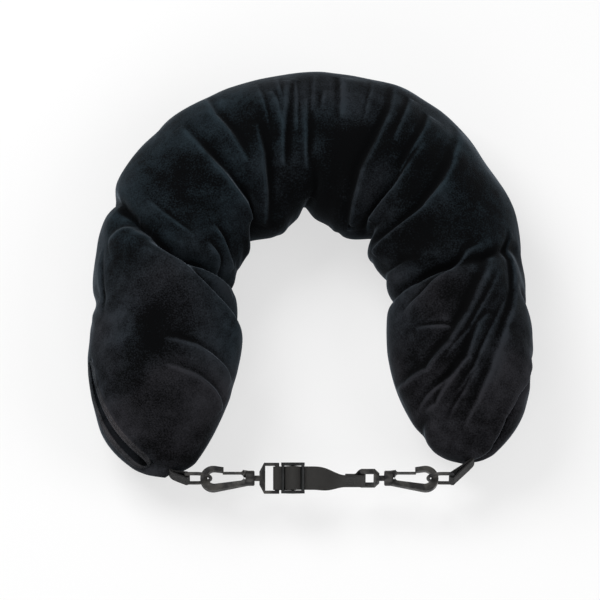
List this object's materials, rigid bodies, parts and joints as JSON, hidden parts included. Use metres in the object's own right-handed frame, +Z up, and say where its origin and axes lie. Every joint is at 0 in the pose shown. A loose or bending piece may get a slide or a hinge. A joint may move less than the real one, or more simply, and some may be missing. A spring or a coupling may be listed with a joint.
{
  "type": "u shaped neck pillow",
  "caption": "U shaped velvet neck pillow, stuffed through a zip at one end and closed by an adjustable webbing strap with swivel snap hooks on D-rings.",
  "frame": {"origin": "centre of the base, on the surface that the pillow lies on", "axes": "+X from the left arm to the right arm, +Y from the strap to the back of the neck, +Z up"},
  "size_m": [0.3759, 0.3715, 0.1151],
  "materials": {
    "velvet": "short black velvet pile with a soft sheen",
    "fibre": "loose soft stuffing",
    "zip_tape": "woven black tape",
    "zip_metal": "black lacquered die casting",
    "webbing": "woven charcoal webbing",
    "ring_plastic": "black moulded plastic",
    "hook_plastic": "black moulded plastic with a dull shine"
  },
  "bodies": {
    "pillow": {"velvet_cover": "velvet", "filling": "fibre", "zip_tape_upper": "zip_tape", "zip_tape_lower": "zip_tape", "zip_stops": "zip_metal", "left_tab": "webbing", "right_tab": "webbing"},
    "zip_slider": {"zip_slider": "zip_metal"},
    "zip_pull": {"zip_pull": "zip_metal"},
    "left_ring": {"left_ring": "ring_plastic"},
    "right_ring": {"right_ring": "ring_plastic"},
    "left_hook": {"left_hook": "hook_plastic"},
    "left_gate": {"left_gate": "hook_plastic"},
    "right_hook": {"right_hook": "hook_plastic"},
    "right_gate": {"right_gate": "hook_plastic"},
    "strap": {"left_frame": "hook_plastic", "right_frame": "hook_plastic", "strap_webbing": "webbing", "strap_loop": "webbing"},
    "adjuster": {"strap_adjuster": "hook_plastic"}
  },
  "joints": [
    {"name": "left_ring_swing", "type": "hinge", "parent": "pillow", "child": "left_ring", "pos_m": [-0.105, -0.17195, 0.038], "axis": [0, 0, 1], "range_deg": [-4, 4]},
    {"name": "right_ring_swing", "type": "hinge", "parent": "pillow", "child": "right_ring", "pos_m": [0.12, -0.17195, 0.038], "axis": [0, 0, 1], "range_deg": [-4, 4]},
    {"name": "left_hook_roll", "type": "hinge", "parent": "pillow", "child": "left_hook", "pos_m": [-0.0473, -0.17195, 0.038], "axis": [1, 0, 0], "range_deg": [-12, 12]},
    {"name": "right_hook_roll", "type": "hinge", "parent": "pillow", "child": "right_hook", "pos_m": [0.0623, -0.17195, 0.038], "axis": [1, 0, 0], "range_deg": [-12, 12]},
    {"name": "left_gate_open", "type": "hinge", "parent": "left_hook", "child": "left_gate", "pos_m": [-0.0574, -0.16745, 0.038], "axis": [0, 0, 1], "range_deg": [0, 22], "stiffness_Nm_per_rad": 0.03, "springref_deg": -5.73},
    {"name": "right_gate_open", "type": "hinge", "parent": "right_hook", "child": "right_gate", "pos_m": [0.0724, -0.16745, 0.038], "axis": [0, 0, -1], "range_deg": [0, 22], "stiffness_Nm_per_rad": 0.03, "springref_deg": -5.73},
    {"name": "strap_spin", "type": "hinge", "parent": "left_hook", "child": "strap", "pos_m": [-0.0473, -0.17195, 0.038], "axis": [1, 0, 0], "continuous": true},
    {"name": "adjuster_slide", "type": "slide", "parent": "strap", "child": "adjuster", "axis": [1, 0, 0], "range_m": [0, 0.006], "deforming": ["strap_loop"]},
    {"name": "zip_run", "type": "slide", "parent": "pillow", "child": "zip_slider", "axis": [-0.4784, 0.8652, 0.1502], "range_m": [0, 0.0498]},
    {"name": "zip_pull_swing", "type": "hinge", "parent": "zip_slider", "child": "zip_pull", "pos_m": [-0.14563, -0.147, 0.0516], "axis": [0.507, 0.1325, 0.8517], "range_deg": [0, 150]}
  ]
}
